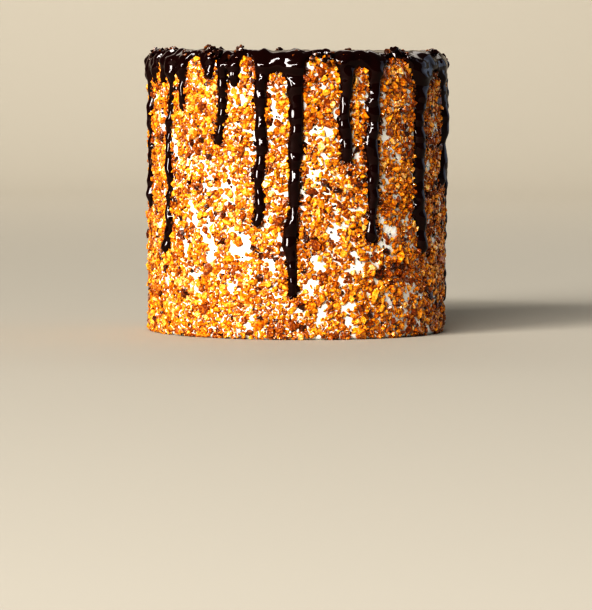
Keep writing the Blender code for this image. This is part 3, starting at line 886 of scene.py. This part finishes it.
room = bmesh.new()
floor_line = [room.verts.new((-FLOOR_HALF_WIDTH, FLOOR_FRONT, 0.0))]
for turn in np.linspace(0.0, math.pi / 2, SWEEP_CORNERS):
    along = FLOOR_BACK - SWEEP_RADIUS * (1 - math.sin(turn))
    floor_line.append(room.verts.new((-FLOOR_HALF_WIDTH, along, SWEEP_RADIUS * (1 - math.cos(turn)))))
floor_line.append(room.verts.new((-FLOOR_HALF_WIDTH, FLOOR_BACK, SWEEP_HEIGHT)))
floor_edges = [room.edges.new(pair) for pair in zip(floor_line, floor_line[1:])]
swept = bmesh.ops.extrude_edge_only(room, edges=floor_edges)
swept_corners = [part for part in swept["geom"] if isinstance(part, bmesh.types.BMVert)]
bmesh.ops.translate(room, verts=swept_corners, vec=(2 * FLOOR_HALF_WIDTH, 0.0, 0.0))
room_mesh = smooth_mesh("backdrop", room)
backdrop = bpy.data.objects.new("backdrop", room_mesh)
bpy.context.scene.collection.objects.link(backdrop)
backdrop_paint, backdrop_shader, backdrop_tree = new_material("pale_backdrop", 0.8)
floor_place = add_node(backdrop_tree, "ShaderNodeTexCoord")
floor_axes = add_node(backdrop_tree, "ShaderNodeSeparateXYZ")
floor_shade_fade = add_node(backdrop_tree, "ShaderNodeMapRange", interpolation_type="SMOOTHSTEP")
floor_shade_fade.inputs["From Min"].default_value = FLOOR_SHADE_FADE[0]
floor_shade_fade.inputs["From Max"].default_value = FLOOR_SHADE_FADE[1]
# The floor's colour is mixed towards the painted shade in front.
floor_shade_mix = add_node(backdrop_tree, "ShaderNodeMixRGB")
floor_shade_mix.inputs["Color1"].default_value = (*FLOOR_COLOUR, 1.0)
floor_shade_mix.inputs["Color2"].default_value = (*FLOOR_PAINTED_SHADE, 1.0)
backdrop_tree.links.new(floor_place.outputs["Object"], floor_axes.inputs["Vector"])
backdrop_tree.links.new(floor_axes.outputs["Y"], floor_shade_fade.inputs["Value"])
backdrop_tree.links.new(floor_shade_fade.outputs["Result"], floor_shade_mix.inputs["Fac"])
backdrop_tree.links.new(floor_shade_mix.outputs["Color"], backdrop_shader.inputs["Base Color"])
room_mesh.materials.append(backdrop_paint)


# The light. A large soft window at the front left, and a smaller one higher up for the highlights at
# the rim. A weak cool sheet of light stands at the right, and one more lamp washes the backdrop.
def add_light(name, power, colour, size, place, aim, spread=180.0):
    """A four-sided lamp at this place that faces this aim."""
    lamp = bpy.data.lights.new(name, "AREA")
    lamp.shape = "RECTANGLE"
    lamp.energy = power
    lamp.color = colour
    lamp.size, lamp.size_y = size
    lamp.spread = math.radians(spread)
    shown = bpy.data.objects.new(name, lamp)
    bpy.context.scene.collection.objects.link(shown)
    turned = (place - aim).to_track_quat("Z", "Y").to_matrix().to_4x4()
    shown.matrix_world = Matrix.Translation(place) @ turned


def round_cake(azimuth, elevation, distance):
    """The place this far from the cake's middle, at this angle to the right of the front and this high."""
    level = distance * math.cos(math.radians(elevation))
    turn = math.radians(azimuth)
    up = distance * math.sin(math.radians(elevation))
    return cake_middle + Vector((level * math.sin(turn), -level * math.cos(turn), up))


cake_middle = Vector((0.0, 0.0, cream_height / 2))
add_light("key_window", 412.0, (1.0, 0.985, 0.96), (2.4, 3.1), round_cake(-40.5, 22.0, 6.0), cake_middle)
add_light("high_window", 110.0, (1.0, 1.0, 1.0), (2.0, 0.56), round_cake(-14.0, 34.0, 5.0), cake_middle)
add_light("cool_side", 5.5, (0.66, 0.80, 1.0), (1.6, 1.4), round_cake(112.0, 14.0, 1.8), cake_middle)
wash_place = Vector((0.0, 2.35, 1.8))
wash_aim = Vector((0.0, 2.3, 0.0))
add_light("backdrop_wash", 14.0, (1.0, 0.97, 0.92), (3.0, 1.1), wash_place, wash_aim, 150.0)

sky = bpy.data.worlds.new("studio")
sky.use_nodes = True
sky.node_tree.nodes["Background"].inputs["Color"].default_value = (0.80, 0.78, 0.75, 1.0)
sky.node_tree.nodes["Background"].inputs["Strength"].default_value = 0.14
bpy.context.scene.world = sky
bpy.context.scene.view_settings.view_transform = "Standard"
bpy.context.scene.view_settings.look = "Very High Contrast"


# The camera: far off with a long lens, level with the top, so that the cake's sides stay upright.
IMAGE_LONG_SIDE = 610
FOCAL_PIXELS = 4050.0
CAMERA_DISTANCE = 2.25
CAMERA_HEIGHT = 0.149
HORIZON_ABOVE_MIDDLE = 243.0
CAMERA_ROLL = 0.28

lens = bpy.data.cameras.new("camera")
lens.sensor_width = 36.0
lens.lens = lens.sensor_width * FOCAL_PIXELS / IMAGE_LONG_SIDE
camera = bpy.data.objects.new("camera", lens)
bpy.context.scene.collection.objects.link(camera)
look_down = math.atan(HORIZON_ABOVE_MIDDLE / FOCAL_PIXELS)
camera.matrix_world = (
    Matrix.Translation((0.0, -CAMERA_DISTANCE, CAMERA_HEIGHT))
    @ Matrix.Rotation(math.pi / 2 - look_down, 4, "X")
    @ Matrix.Rotation(math.radians(CAMERA_ROLL), 4, "Z")
)
bpy.context.scene.camera = camera
